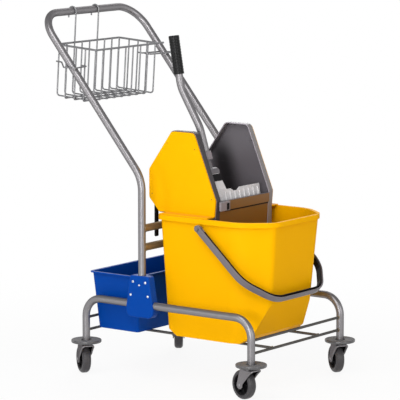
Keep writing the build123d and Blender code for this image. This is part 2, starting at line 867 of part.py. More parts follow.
lever_low_run = hypot(lever_low_bend[0] - pivot_x, lever_low_bend[1] - pivot_z)
lever_foot = along(lever_pivot, lever_low_bend, lever_socket_floor / lever_low_run)
socket_base = along(lever_pivot, lever_low_bend, socket_base_l / lever_low_run)
socket_top = along(lever_pivot, lever_low_bend, socket_l / lever_low_run)


def lever_hub():
    body = across(pivot_x, pivot_z, hub_body_d, hub_right_y, hub_left_y)
    body += bar(spatial(lever_pivot, lever_y), spatial(lever_foot, lever_y), neck_d)
    body += bar(spatial(socket_base, lever_y), spatial(socket_top, lever_y), socket_d)
    body -= bar(spatial(lever_foot, lever_y), spatial(lever_low_bend, lever_y), tube_d)
    return only(body - across(pivot_x, pivot_z, bush_d, hub_right_y, hub_left_y))


def lever_tube():
    points = [spatial(p, lever_y) for p in (lever_foot, lever_low_bend, lever_high_bend, lever_top)]
    return bent(points, lever_bend_r, tube_d, tube_wall)


def lever_grip():
    top_l = hypot(lever_top[0] - lever_high_bend[0], lever_top[1] - lever_high_bend[1])
    start = along(lever_top, lever_high_bend, (grip_l - grip_cap) / top_l)
    axis = Plane(
        origin=spatial(start, lever_y),
        z_dir=Vector(*spatial(lever_top, 0)) - Vector(*spatial(lever_high_bend, 0)),
    )
    body = Pos(0, 0, grip_l / 2) * Cylinder(grip_d / 2, grip_l)
    body = fillet(body.edges(), grip_cap / 2)
    pitch = (grip_l - grip_cap) / (grip_rib_count + 1)
    ring = Cylinder(grip_d / 2, grip_groove_w) - Cylinder(grip_d / 2 - grip_groove_depth, grip_groove_w)
    for i in range(grip_rib_count):
        body -= Pos(0, 0, (i + 1) * pitch) * ring
    body -= Pos(0, 0, (grip_l - grip_cap) / 2) * Cylinder(tube_r, grip_l - grip_cap)
    return only(axis * body)


def press_plate():
    """A ribbed plate hung from the lever hub by a riser."""
    down = Vector(plate_base[0] - plate_top[0], 0, plate_base[1] - plate_top[1])
    fall = down.length
    plane = Plane(origin=spatial(plate_top, 0), x_dir=(0, 1, 0), z_dir=down.cross(Vector(0, 1, 0)))
    half = plate_w / 2
    dip = plate_dip_w / 2
    foot = dip + plate_dip_run
    shape = Polyline(
        (-half, 0),
        (plate_dip_y - foot, 0),
        (plate_dip_y - dip, -plate_dip),
        (plate_dip_y + dip, -plate_dip),
        (plate_dip_y + foot, 0),
        (half, 0),
        (half, -fall),
        (-half, -fall),
        close=True,
    )
    body = extrude(plane * make_face(shape), plate_t)
    pitch = plate_w / plate_rib_count
    rib = Box(plate_rib_w, fall - 2 * plate_dip, 2 * plate_rib_t)
    for i in range(plate_rib_count):
        body += plane * Pos((i + 0.5) * pitch - half, -fall / 2, plate_t) * rib
    top_x, top_z = plate_top
    riser = make_face(
        Polyline(
            (pivot_x - riser_t / 2, pivot_z),
            (pivot_x + riser_t, pivot_z),
            (top_x + plate_t, top_z),
            (top_x + plate_t / 2, top_z - riser_t),
            (top_x, top_z - riser_t),
            close=True,
        )
    )
    body += slab(riser, lever_y - riser_w / 2, lever_y + riser_w / 2)
    return only(body - across(pivot_x, pivot_z, hub_body_d, -wringer_y, wringer_y))


save("pivot_shaft", pivot_shaft())
save("shaft_retainer", shaft_retainer())
save("lever_bush", lever_bush())
save("lever_hub", lever_hub())
save("lever_tube", lever_tube())
save("lever_grip", lever_grip())
save("press_plate", press_plate())

# Wire basket, modelled level and then tilted about the top bar of the push handle
basket_rear_x = handle_top_x + tube_r + bar_gap + basket_wire_d / 2
basket_front_x = basket_rear_x + basket_d
basket_rim_z = handle_top_z - basket_rim_drop
basket_base_z = basket_rim_z - basket_h
rim_offset = (basket_rim_d + basket_wire_d) / 2
long_wire_pitch = basket_w / (long_wire_count - 1)


def tilted(shape):
    return shape.rotate(Axis((handle_top_x, 0, handle_top_z), (0, 1, 0)), basket_tilt)


def basket_rim():
    rear = basket_rear_x - rim_offset
    front = basket_front_x + rim_offset
    half = basket_w / 2 + rim_offset
    path = Pos((rear + front) / 2, 0, basket_rim_z) * RectangleRounded(front - rear, 2 * half, basket_rim_r)
    wire = path.wire()
    section = Plane(origin=wire @ 0, z_dir=wire % 0) * Circle(basket_rim_d / 2)
    tail_start = (front, half - basket_rim_r, basket_rim_z)
    tail = bar(tail_start, (front, half + rim_tail_l, basket_rim_z), basket_rim_d)
    return tilted(only(sweep(section, wire) + tail))


def long_wire(y, hooked):
    """One wire down the rear wall, along the floor and up the front wall."""
    points = [
        (basket_rear_x, y, basket_rim_z),
        (basket_rear_x, y, basket_base_z),
        (basket_front_x, y, basket_base_z),
        (basket_front_x, y, basket_rim_z),
    ]
    radii = [basket_bend_r, basket_bend_r]
    if hooked:
        over = handle_top_z + tube_r + bar_gap + basket_wire_d / 2
        behind = 2 * handle_top_x - basket_rear_x
        hook_r = (basket_rear_x - behind) / 2 - seat_gap
        tail = [(behind, y, handle_top_z - hook_tail), (behind, y, over), (basket_rear_x, y, over)]
        points = tail + points[1:]
        radii = [hook_r, hook_r] + radii
    return tilted(bent(points, radii, basket_wire_d))


def cross_wire(x):
    """One wire down an end wall, under the long wires and up the other end wall."""
    half = basket_w / 2 + basket_wire_d
    low = basket_base_z - basket_wire_d
    top = basket_rim_z - basket_rim_d / 2
    points = [(x, -half, top), (x, -half, low), (x, half, low), (x, half, top)]
    return tilted(bent(points, basket_wire_d, basket_wire_d))


def clasp(side, drop, rear):
    """A wire loop from an end wall round the outside of a handle leg."""
    z = basket_rim_z - drop
    rear_x, rear_y = end_wire(rear)
    front_x, front_y = end_wire(clasp_front)
    rear_root = clasp_root(rear_x - basket_wire_d, side * rear_y, z)
    front_root = clasp_root(front_x - clasp_root_l / 2, side * front_y, z)
    loop_z = (rear_root[1][2] + front_root[1][2]) / 2
    leg_x = upright_x - (loop_z - handle_knee_z) * tan(radians(handle_lean))
    leg_half = tube_r / cos(radians(handle_lean)) + basket_wire_d * tan(radians(handle_lean))
    outside = side * (rail_y + tube_r + clasp_leg_gap + basket_wire_d / 2)
    rear_turn = (leg_x - leg_half, outside, loop_z)
    front_turn = (leg_x + leg_half + 2 * clasp_leg_gap, outside, loop_z)
    points = rear_root + [rear_turn, front_turn] + front_root[::-1]
    return bent(points, basket_bend_r, basket_wire_d)


def end_wire(distance):
    """The upright wire of an end wall nearest to a distance from the rear wall, and the outside of it."""
    places = [(basket_rear_x, basket_w / 2 + basket_wire_d)]
    places += [(x, basket_w / 2 + 2 * basket_wire_d) for x in cross_wire_x]
    return min(places, key=lambda place: abs(place[0] - basket_rear_x - distance))


def clasp_root(x, y, z):
    """The straight run of a clasp along an end wall."""
    return [tilted_point(x, y, z), tilted_point(x + clasp_root_l, y, z)]


def tilted_point(x, y, z):
    """Where a point of the level basket lies once the basket is tilted."""
    turn = radians(basket_tilt)
    dx = x - handle_top_x
    dz = z - handle_top_z
    return (handle_top_x + dx * cos(turn) + dz * sin(turn), y, handle_top_z + dz * cos(turn) - dx * sin(turn))


long_wire_y = [-basket_w / 2 + i * long_wire_pitch for i in range(long_wire_count)]
cross_wire_x = [basket_rear_x + basket_d * (i + 1) / (cross_wire_count + 1) for i in range(cross_wire_count)]
hooked_y = [min(long_wire_y, key=lambda y: abs(y - place)) for place in (right_hook_y, left_hook_y)]

save("basket_rim", basket_rim())
save("basket_hooks", *[long_wire(y, True) for y in hooked_y])
save("basket_long_wires", *[long_wire(y, False) for y in long_wire_y if y not in hooked_y])
save("basket_cross_wires", *[cross_wire(x) for x in cross_wire_x])
right_clasp = clasp(RIGHT, right_clasp_drop, right_clasp_rear)
left_clasp = clasp(LEFT, left_clasp_drop, left_clasp_rear)
save("basket_clasps", right_clasp, left_clasp)
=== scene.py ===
import json
from math import cos, pi, radians, sin, sqrt, tan

import bmesh
import bpy
from mathutils import Matrix, Quaternion, Vector


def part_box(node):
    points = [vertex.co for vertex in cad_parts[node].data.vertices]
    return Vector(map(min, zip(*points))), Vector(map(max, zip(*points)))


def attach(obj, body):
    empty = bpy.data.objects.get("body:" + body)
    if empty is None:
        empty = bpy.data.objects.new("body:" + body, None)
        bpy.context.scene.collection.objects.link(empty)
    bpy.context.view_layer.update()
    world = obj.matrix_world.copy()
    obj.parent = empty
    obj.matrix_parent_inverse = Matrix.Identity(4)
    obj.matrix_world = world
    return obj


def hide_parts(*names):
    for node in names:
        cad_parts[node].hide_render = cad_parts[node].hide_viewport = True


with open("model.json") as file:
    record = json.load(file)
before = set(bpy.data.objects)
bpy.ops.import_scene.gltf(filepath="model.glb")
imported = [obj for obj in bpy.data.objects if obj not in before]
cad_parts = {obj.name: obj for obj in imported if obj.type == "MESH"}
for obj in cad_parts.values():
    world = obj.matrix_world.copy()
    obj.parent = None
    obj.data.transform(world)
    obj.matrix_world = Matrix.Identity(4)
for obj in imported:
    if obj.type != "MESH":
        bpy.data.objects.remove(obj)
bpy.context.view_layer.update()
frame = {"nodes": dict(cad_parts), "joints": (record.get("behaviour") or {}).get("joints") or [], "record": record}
nodes = frame["nodes"]
joints = {joint["name"]: joint for joint in frame["joints"]}
slot_of = {part["node"]: part["material_slot"] for part in frame["record"]["subparts"]}
bodies = frame["record"]["behaviour"]["bodies"]
body_of = {node: body for body, members in bodies.items() for node in members}
caster_corners = ("rear_right", "rear_left", "front_right", "front_left")
mm = 0.001
up = Vector((0.0, 0.0, 1.0))
across = Vector((0.0, 1.0, 0.0))


# Shader nodes
class Value:
    """A value over a surface. Arithmetic on it adds Math nodes to its finish."""

    def __init__(self, finish, socket):
        self.finish = finish
        self.socket = socket

    def math(self, operation, first, second):
        return self.finish.node("ShaderNodeMath", {"operation": operation}, {0: first, 1: second})

    def __add__(self, other):
        return self.math("ADD", self, other)

    def __sub__(self, other):
        return self.math("SUBTRACT", self, other)

    def __rsub__(self, other):
        return self.math("SUBTRACT", other, self)

    def __mul__(self, other):
        return self.math("MULTIPLY", self, other)

    def __abs__(self):
        return self.math("ABSOLUTE", self, 0.0)


class Finish:
    """A procedural material."""

    def __init__(self, name):
        self.material = bpy.data.materials.new(name)
        self.material.use_nodes = True
        self.tree = self.material.node_tree
        self.tree.nodes.clear()
        self.place = self.node("ShaderNodeTexCoord", out="Object")

    def node(self, kind, settings=None, sockets=None, out=0):
        made = self.tree.nodes.new(kind)
        for key, value in (settings or {}).items():
            setattr(made, key, value)
        for key, value in (sockets or {}).items():
            if isinstance(value, Value):
                self.tree.links.new(value.socket, made.inputs[key])
            else:
                made.inputs[key].default_value = value
        return Value(self, made.outputs[out])

    def mix(self, factor, low, high):
        sockets = {0: factor, 6: low, 7: high}
        return self.node("ShaderNodeMix", {"data_type": "RGBA"}, sockets, 2)

    def noise(self, scale, detail, stretch=(1.0, 1.0, 1.0)):
        place = self.node("ShaderNodeMapping", None, {"Vector": self.place, "Scale": stretch})
        sockets = {"Vector": place, "Scale": scale, "Detail": detail}
        return self.node("ShaderNodeTexNoise", None, sockets)

    def step(self, value, start, end):
        """Rises smoothly from 0 at start to 1 at end."""
        sockets = {"Value": value, "From Min": start, "From Max": end}
        return self.node("ShaderNodeMapRange", {"interpolation_type": "SMOOTHSTEP"}, sockets)

    def along(self, axis):
        return self.node("ShaderNodeSeparateXYZ", None, {0: self.place}, axis)

    def facing(self, axis, start, end):
        """1 on faces that look along an axis, 0 on those that look aside."""
        normal = self.node("ShaderNodeTexCoord", out="Normal")
        return self.step(self.node("ShaderNodeSeparateXYZ", None, {0: normal}, axis), start, end)

    def bump(self, height, strength, distance):
        sockets = {"Height": height, "Strength": strength, "Distance": distance}
        return self.node("ShaderNodeBump", None, sockets)

    def coat(self, **sockets):
        """Ends the material in one Principled shader."""
        named = {key.replace("_", " "): value for key, value in sockets.items()}
        return self.show(self.node("ShaderNodeBsdfPrincipled", None, named))

    def show(self, shader):
        output = self.tree.nodes.new("ShaderNodeOutputMaterial")
        self.tree.links.new(shader.socket, output.inputs["Surface"])
        return self


def paint(red, green, blue):
    return (red, green, blue, 1.0)


def shade(colour, factor):
    return paint(*(c * factor for c in colour[:3]))


# Finishes
pale_dust = paint(0.6, 0.58, 0.55)
floor_dust = paint(0.34, 0.33, 0.31)
dull_edge = paint(0.15, 0.15, 0.15)
# Lean, width and height of the band of painted shade in moulded()
shade_lean = 0.28
shade_near = 6.0
shade_far = 66.0
shade_full_z = 620.0
shade_end_z = 715.0
# Width of the painted highlight line on a shell's rim
highlight_w = 0.8


def moulded(name, colour, rough, gloss=0.3, worn=None, front=None, highlight_y=None, shade_place=None):
    """Moulded plastic with a slow drift of tone, scuffs, settled dust and a spark-eroded grain.

    worn is the tone of scuffs, and front a tone painted on faces that look along +X for the light,
    shade or reflection that falls on them. A rim inside highlight_y gets a painted highlight, and
    shade_place is a place in X and Z on a leaning band of painted shade.
    """
    f = Finish(name)
    drift = f.noise(5.0, 3.0)
    marks = f.step(f.noise(26.0, 6.0, (1.0, 1.0, 5.0)), 0.58, 0.74)
    hair = f.step(f.noise(160.0, 2.0, (1.0, 1.0, 0.06)), 0.66, 0.74)
    scuffs = (marks * 0.6 + hair * 0.4) * 0.5
    base = f.mix(drift, shade(colour, 0.95), shade(colour, 1.04))
    # Painted light, shade and reflection: faces that look along +X take the front tone
    if front:
        painted_front_tone = f.mix(drift, shade(front, 0.92), shade(front, 1.06))
        base = f.mix(f.facing("X", 0.2, 0.85), base, painted_front_tone)
    sheen = gloss
    # Painted shade: a leaning dark band where the near cheek's shadow falls, with the gloss taken away there too
    if shade_place:
        middle = (shade_place[0] + shade_place[1] * shade_lean) * mm
        leaning = f.along("X") + f.along("Z") * shade_lean + drift * 0.02
        clear = f.step(abs(leaning - (middle + 0.01)), shade_near * mm, shade_far * mm)
        above = f.step(f.along("Z"), shade_full_z * mm, shade_end_z * mm)
        painted_shade = (1.0 - clear) * (1.0 - above)
        base = f.mix(painted_shade, base, shade(colour, 0.17))
        sheen = gloss - painted_shade * (0.85 * gloss)
    # Painted highlight: a pale line along the rim inside highlight_y
    if highlight_y:
        painted_highlight = 1.0 - f.step(abs(f.along("Y")), highlight_y * mm, (highlight_y + highlight_w) * mm)
        base = f.mix(painted_highlight * (0.75 - drift * 0.3), base, shade(colour, 4.5))
    tone = f.mix(scuffs * 0.2, base, worn or shade(colour, 1.35))
    dust = f.facing("Z", 0.3, 0.95) * f.noise(40.0, 4.0)
    tone = f.mix(dust * 0.06, tone, pale_dust)
    roughness = drift * 0.06 + scuffs * 0.16 + dust * 0.08 + (rough - 0.03)
    grain = f.noise(1500.0, 2.0)
    wave = f.noise(16.0, 1.0)
    normal = f.bump(grain * 0.12 + wave * 1.5, 0.35, 0.4 * mm)
    return f.coat(Base_Color=tone, Roughness=roughness, Normal=normal, Specular_IOR_Level=sheen)


def painted_tube(name, colour, rough, metal):
    """Silver-grey paint: metal flake, a fine orange-peel skin, rubbed patches and a few chips."""
    f = Finish(name)
    flake = f.noise(2600.0, 1.0)
    drift = f.noise(7.0, 3.0)
    rub = f.step(f.noise(34.0, 5.0), 0.6, 0.78)
    chip = f.step(f.noise(210.0, 3.0), 0.735, 0.75)
    base = f.mix(flake, shade(colour, 0.86), shade(colour, 1.14))
    base = f.mix(drift * 0.5, base, shade(colour, 0.93))
    base = f.mix(rub * 0.25, base, shade(colour, 1.3))
    base = f.mix(chip * 0.7, base, shade(colour, 0.35))
    roughness = drift * 0.1 + (rough - 0.05) - rub * 0.06 + chip * 0.2
    normal = f.bump(f.noise(700.0, 2.0) - chip * 1.5, 0.2, 0.3 * mm)
    return f.coat(
        Base_Color=base, Metallic=metal, Roughness=roughness, Normal=normal,
        Specular_IOR_Level=0.1, Specular_Tint=dull_edge,
    )


def rubber(name, colour, rough, dusty, upward_tone=None, gloss=0.3):
    """Rubber with bloom and floor dust; upward_tone is the tone of faces that look up, which are also made
    rougher.
    """
    f = Finish(name)
    cloud = f.noise(30.0, 5.0)
    speck = f.step(f.noise(420.0, 3.0), 0.55, 0.75)
    bloom = f.step(cloud, 0.4, 0.75)
    tone = f.mix(bloom * 0.35, colour, shade(colour, 1.35))
    tone = f.mix(speck * dusty, tone, floor_dust)
    roughness = bloom * 0.12 + (rough - 0.05)
    if upward_tone:
        top = f.facing("Z", 0.5, 0.97)
        tone = f.mix(top, tone, f.mix(cloud, shade(upward_tone, 0.8), shade(upward_tone, 1.2)))
        roughness = roughness + top * (0.9 - rough)
    normal = f.bump(f.noise(900.0, 3.0), 0.3, 0.4 * mm)
    return f.coat(Base_Color=tone, Roughness=roughness, Normal=normal, Specular_IOR_Level=gloss)


def plated(name, colour, rough):
    """Zinc plating: cloudy crystals, a fine grain and a little dull bloom."""
    f = Finish(name)
    sockets = {"Vector": f.place, "Scale": 480.0}
    crystal = f.node("ShaderNodeTexVoronoi", None, sockets, "Distance")
    bloom = f.step(f.noise(90.0, 4.0), 0.5, 0.8)
    tone = f.mix(crystal, shade(colour, 0.9), shade(colour, 1.1))
    tone = f.mix(bloom * 0.3, tone, shade(colour, 0.7))
    roughness = crystal * 0.1 + bloom * 0.18 + rough
    normal = f.bump(f.noise(1800.0, 2.0), 0.12, 0.2 * mm)
    return f.coat(Base_Color=tone, Metallic=1.0, Roughness=roughness, Normal=normal)


grey = paint(0.115, 0.105, 0.118)
yellow_plastic = moulded(
    "yellow_polypropylene", paint(0.88, 0.425, 0.0), 0.5, 0.03, worn=paint(0.97, 0.53, 0.02),
)
blue_plastic = moulded(
    "blue_polypropylene", paint(0.0, 0.05, 0.31), 0.4, 0.06, worn=paint(0.03, 0.11, 0.42),
)
bumper_rubber = rubber(
    "bumper_rubber", paint(0.06, 0.058, 0.061), 0.26, 0.05,
    upward_tone=paint(0.13, 0.127, 0.131), gloss=0.8,
)
dark_plastic = moulded("black_polypropylene", paint(0.0035, 0.003, 0.004), 0.5, 0.08)
finishes = {
    "frame_paint": painted_tube("silver_paint", paint(0.252, 0.243, 0.251), 0.34, 0.75),
    "wire_coat": painted_tube("wire_coating", paint(0.25, 0.25, 0.258), 0.34, 0.6),
    "yellow_plastic": yellow_plastic,
    "blue_plastic": blue_plastic,
    "grey_plastic": moulded("grey_polypropylene", grey, 0.36),
    "light_grey_plastic": moulded("pale_grey_polypropylene", paint(0.64, 0.62, 0.625), 0.26, 0.5),
    "bail_grey": moulded("bail_polypropylene", paint(0.14, 0.126, 0.142), 0.32, 0.45),
    "dark_plastic": dark_plastic,
    "bumper_rubber": bumper_rubber,
    "tyre_rubber": rubber("tyre_rubber", paint(0.048, 0.045, 0.048), 0.42, 0.08),
    "grip_rubber": rubber("grip_rubber", paint(0.006, 0.006, 0.0065), 0.3, 0.03, gloss=0.18),
    "zinc": plated("zinc_plate", paint(0.72, 0.73, 0.76), 0.22),
}
# Painted shade: a darker copy of the silver paint for the rods low under the buckets
shaded_rod_paint = painted_tube("shaded_rod_paint", paint(0.11, 0.105, 0.1), 0.4, 0.5)
# Painted reflection: a brownish copy of the silver paint for the braces, standing in for the yellow bucket
# reflected in them
brace_reflection_paint = painted_tube("brace_reflection_paint", paint(0.26, 0.2, 0.12), 0.4, 0.6)
fork_plate = painted_tube("fork_plate", paint(0.24, 0.228, 0.236), 0.3, 0.75)
dull_zinc = plated("dull_zinc", paint(0.3, 0.29, 0.3), 0.42)
latch_plastic = moulded("latch_polypropylene", paint(0.25, 0.22, 0.235), 0.4)
own_finish = {
    "upper_brace": brace_reflection_paint,
    "lower_brace": brace_reflection_paint,
    # The near shell's faces that look along +X take a dark tone, painted shade
    "right_cheek_shell": moulded(
        "near_shell_polypropylene", grey, 0.4, 0.2, front=paint(0.05, 0.045, 0.048),
    ),
    # The far shell's faces that look along +X take a lighter tone, painted light; its rim gets a painted highlight
    # and its inner face a painted shadow of the near cheek
    "left_cheek_shell": moulded(
        "shell_polypropylene", grey, 0.34, 0.4, front=paint(0.21, 0.194, 0.194),
        highlight_y=119.0, shade_place=(-72.0, 640.0),
    ),
    "lever_hub": moulded("hub_polypropylene", paint(0.12, 0.11, 0.121), 0.28, 0.5),
    "pivot_shaft": dull_zinc,
    "shaft_retainer": dull_zinc,
    "front_cross_rods": shaded_rod_paint,
    "rear_cross_rods": shaded_rod_paint,
    "bucket_support_rods": shaded_rod_paint,
    # The chute's faces that look along +X take a brown tone, painted yellow light bounced from the bucket
    "wringer_chute": moulded(
        "chute_polypropylene", grey, 0.42, front=paint(0.208, 0.098, 0.022),
    ),
    "wringer_latch": latch_plastic,
    # Painted shade: the cover screw heads take a dark colour for the shade of the holes they sit in
    "cover_screws": plated("screw_hole_shade", paint(0.06, 0.05, 0.04), 0.4),
}
for corner in caster_corners:
    own_finish[f"{corner}_caster_fork"] = fork_plate
    own_finish[f"{corner}_wheel_axle"] = dull_zinc


def finish_of(node):
    return own_finish.get(node, finishes[slot_of[node]])


def clad(piece, finish):
    """Gives a piece one finish all over."""
    piece.data.materials.clear()
    piece.data.materials.append(finish.material)


for name, node in nodes.items():
    clad(node, finish_of(name))


# Shapes, in millimetres
def ring_of(count):
    return [(cos(2 * pi * k / count), sin(2 * pi * k / count)) for k in range(count)]


def mirrored(profile):
    """A profile and its reflection in the middle of the axis that it turns about."""
    return profile + [(r, -h) for r, h in reversed(profile)]


def rounded(corners, radii, closed=False, steps=6):
    """Points along straight runs whose corners are turned into arcs."""
    places = [Vector(corner).to_3d() for corner in corners]
    last = len(places) - 1
    points = []
    for i, here in enumerate(places):
        r = radii[i] if isinstance(radii, (list, tuple)) else radii
        if not r or (not closed and i in (0, last)):
            points.append(here)
            continue
        back = (places[i - 1] - here).normalized()
        ahead = (places[(i + 1) % len(places)] - here).normalized()
        half = back.angle(ahead) / 2
        centre = here + (back + ahead).normalized() * r / sin(half)
        start = here + back * r / tan(half) - centre
        end = here + ahead * r / tan(half) - centre
        axis = start.cross(end).normalized()
        turn = start.angle(end)
        points += [
            centre + Quaternion(axis, turn * k / steps) @ start for k in range(steps + 1)
        ]
    return points


def round_edges(bm, edges, radius, clamp=False):
    bmesh.ops.bevel(
        bm, geom=edges, offset=radius * mm, offset_type="OFFSET", affect="EDGES",
        segments=2, profile=0.5, material=-1, clamp_overlap=clamp,
    )


def sharp_edges(bm, angle):
    return [e for e in bm.edges if e.is_manifold and e.calc_face_angle() > radians(angle)]


def weld_points(bm, distance):
    bmesh.ops.remove_doubles(bm, verts=bm.verts, dist=distance * mm)


def face_outward(bm):
    bmesh.ops.recalc_face_normals(bm, faces=bm.faces)


def add_spin(bm, profile, origin, axis, steps=48, closed=True):
    """Adds a turned shape. The profile gives the radius and the place along the axis."""
    axis = Vector(axis).normalized()
    side = axis.orthogonal().normalized()
    origin = Vector(origin)
    verts = [bm.verts.new((origin + side * p[0] + axis * p[1]) * mm) for p in profile]
    ends = verts[1:] + verts[:1] if closed else verts[1:]
    edges = [bm.edges.new(pair) for pair in zip(verts, ends)]
    bmesh.ops.spin(
        bm, geom=verts + edges, cent=origin * mm, axis=axis, angle=2 * pi, steps=steps,
        use_merge=True,
    )


def join_rings(bm, rings):
    """Closes the sides between rings of points with the same count."""
    for low, high in zip(rings, rings[1:]):
        for k in range(len(low)):
            bm.faces.new((low[k - 1], low[k], high[k], high[k - 1]))


def close_bar(bm, rings):
    """Closes the sides and both ends of a bar."""
    join_rings(bm, rings)
    bm.faces.new(rings[0])
    bm.faces.new(reversed(rings[-1]))


def run_at(path, i):
    return path[min(i + 1, len(path) - 1)] - path[max(i - 1, 0)]


def add_sweep(bm, path, section, square):
    """Adds a bar with an outline swept along a flat path; square is the normal of its plane."""
    rings = []
    for i, here in enumerate(path):
        side = run_at(path, i).cross(square).normalized()
        points = [here + side * p[0] + square * p[1] for p in section]
        rings.append([bm.verts.new(point * mm) for point in points])
    close_bar(bm, rings)


def add_wire(bm, path, r, square):
    """Adds a round bead with thin ends; square is a way that its path never takes."""
    rings = []
    for i, here in enumerate(path):
        run = run_at(path, i).normalized()
        side = run.cross(square).normalized()
        rise = side.cross(run)
        small = r * min(1.0, 0.25 + 0.25 * min(i, len(path) - 1 - i))
        points = [here + side * small * a + rise * small * b for a, b in ring_of(10)]
        rings.append([bm.verts.new(point * mm) for point in points])
    close_bar(bm, rings)


def add_beads(bm, points, r):
    """Adds a row of small overlapping drops, as a weld leaves them."""
    for point in points:
        place = Matrix.Translation(Vector(point) * mm)
        bmesh.ops.create_icosphere(bm, subdivisions=2, radius=r * mm, matrix=place)


def stretched(size):
    return Matrix.Diagonal(Vector(size) * mm).to_4x4()


def add_block(bm, centre, size, soft):
    """Adds a box with rounded edges."""
    place = Matrix.Translation(Vector(centre) * mm) @ stretched(size)
    made = bmesh.ops.create_cube(bm, size=1.0, matrix=place)
    round_edges(bm, list({edge for vert in made["verts"] for edge in vert.link_edges}), soft)


def add_prism(bm, outline, y_low, y_high, soft):
    """Adds a bar along Y with an outline in X and Z and rounded edges."""
    ends = [[bm.verts.new(Vector((x, y, z)) * mm) for x, z in outline] for y in (y_low, y_high)]
    faces = [bm.faces.new(ends[0]), bm.faces.new(reversed(ends[1]))]
    for k in range(len(outline)):
        faces.append(bm.faces.new((ends[0][k - 1], ends[1][k - 1], ends[1][k], ends[0][k])))
    bmesh.ops.recalc_face_normals(bm, faces=faces)
    round_edges(bm, list({edge for face in faces for edge in face.edges}), soft)


screw_rings = 14
screw_turns = 48
recess_half_w = 0.14
recess_reach = 0.6
recess_depth = 0.55
recess_slope = 8.0
screw_dome = 0.8


def screw_height(a, b):
    """The height of a domed head with a cross recess; sizes are shares of its own."""
    height = 1.0 - screw_dome * (a * a + b * b) ** 2
    wide = max(abs(a), abs(b))
    narrow = min(abs(a), abs(b))
    if narrow < recess_half_w and wide < recess_reach:
        height -= recess_depth * min(1.0, (recess_reach - wide) * recess_slope)
    return height


def add_screw(bm, centre, out, r, h):
    """Adds a domed screw head with a cross recess."""
    out = Vector(out)
    side = Vector((1.0, 0.0, 0.0))
    rise = out.cross(side)
    centre = Vector(centre)
    rings = []
    for i in range(screw_rings + 1):
        share = i / screw_rings
        places = [(share * a, share * b) for a, b in ring_of(screw_turns)]
        points = [
            centre + side * r * a + rise * r * b + out * h * screw_height(a, b)
            for a, b in places
        ]
        rings.append([bm.verts.new(point * mm) for point in points])
    foot = out * h * (1.0 - screw_dome) * mm
    rings.append([bm.verts.new(vert.co - foot) for vert in rings[-1]])
    join_rings(bm, rings)
    bm.faces.new(rings[-1])


# Pieces and how they move
smooth_angle = 35.0
face_weight = 80


def piece_from(bm, name):
    mesh = bpy.data.meshes.new(name)
    bm.to_mesh(mesh)
    bm.free()
    piece = bpy.data.objects.new(name, mesh)
    bpy.context.scene.collection.objects.link(piece)
    return piece


def smooth(piece):
    """Smooth shading that keeps the sharp edges, with flat faces left flat."""
    piece.data.shade_smooth()
    piece.data.set_sharp_from_angle(angle=radians(smooth_angle))
    weighted = piece.modifiers.new("face_normals", "WEIGHTED_NORMAL")
    weighted.weight = face_weight
    weighted.keep_sharp = True


def ride(piece, node):
    """Gives a piece the finish and the motion of a CAD node."""
    clad(piece, finish_of(node))
    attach(piece, body_of[node])


def add_detail(bm, name, node, finish=None):
    """Ends a mesh as a small piece that moves with a CAD node."""
    piece = piece_from(bm, name)
    smooth(piece)
    ride(piece, node)
    if finish:
        clad(piece, finish)


def replace_node(node, bm, name):
    """Ends a mesh and lets it stand for a CAD node."""
    piece = piece_from(bm, name)
    smooth(piece)
    ride(piece, node)
    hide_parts(node)


def stand_for(node, bm, name):
    """Closes a mesh and lets it stand for a CAD node."""
    weld_points(bm, 0.002)
    face_outward(bm)
    replace_node(node, bm, name)


# Moulded and pressed pieces
edge_radius = {
    "yellow_bucket": 1.2,
    "blue_bucket": 0.9,
    "right_cheek_cover": 0.9,
    "left_cheek_cover": 2.4,
    "right_cheek_shell": 0.9,
    "left_cheek_shell": 0.9,
    "wringer_chute": 0.9,
    "wringer_latch": 0.8,
    "press_plate": 0.7,
    "lever_hub": 1.0,
    "rear_hooks": 0.8,
    "right_bracket_outer": 0.8,
    "right_bracket_inner": 0.8,
    "left_bracket_outer": 0.8,
    "left_bracket_inner": 0.8,
}
flat_angle = 0.5
mould_edge_angle = 28.0


def softened(node, radius):
    """A copy of a CAD node whose sharp edges are rounded as a mould or a press leaves them."""
    bm = bmesh.new()
    bm.from_mesh(nodes[node].data)
    weld_points(bm, 0.004)
    bmesh.ops.dissolve_limit(bm, angle_limit=radians(flat_angle), verts=bm.verts, edges=bm.edges)
    round_edges(bm, sharp_edges(bm, mould_edge_angle), radius, clamp=True)
    weld_points(bm, 0.001)
    replace_node(node, bm, f"{node}_moulding")


for name, radius in edge_radius.items():
    softened(name, radius)


# Casters
tyre_w = 26.0
tyre_round = 9.2
hub_r = 30.2
hub_face = 11.0
hub_web = 4.2
boss_face = 14.7
axle_bore_r = 4.05
axle_r = 4.0
axle_head_r = 5.0
axle_head_h = 2.0
hub_rib_count = 6
hub_rib_size = (17.6, 5.6, 2.4)
hub_rib_out = 17.3
hub_rib_aside = 6.6
trail_l = 30.0
eye_r = 12.0
eye_steps = 7
fork_half_w = 18.0
fork_t = 3.0
fork_top_z = 92.4
fork_edge_angle = 50.0
fork_edge_r = 0.8
leg_full_z = fork_top_z - 3.5
leg_rear_spread = 39.0
leg_rear_curve = 1.35
leg_front_spread = 14.0
hood_round = 9.0
hood_leg_steps = 10
hood_round_steps = 8
hood_columns = 16
hood_bulge = 4.0
hood_slope_x = -9.0
hood_slope_l = 15.0
hood_fall = 2.0
lip_r = 2.9
lip_foot = 8.0
lip_in = 1.2
lip_under = 1.6
lip_narrow = 0.92
crown_r = 17.0
crown_bore_r = 5.6
crown_low_z = 88.0
crown_top_z = 93.5
# Size of the dark sheet that paints the shade under a fork's hood
shade_liner_inset = 3.1
shade_liner_t = 0.5
shade_liner_foot = 15.0


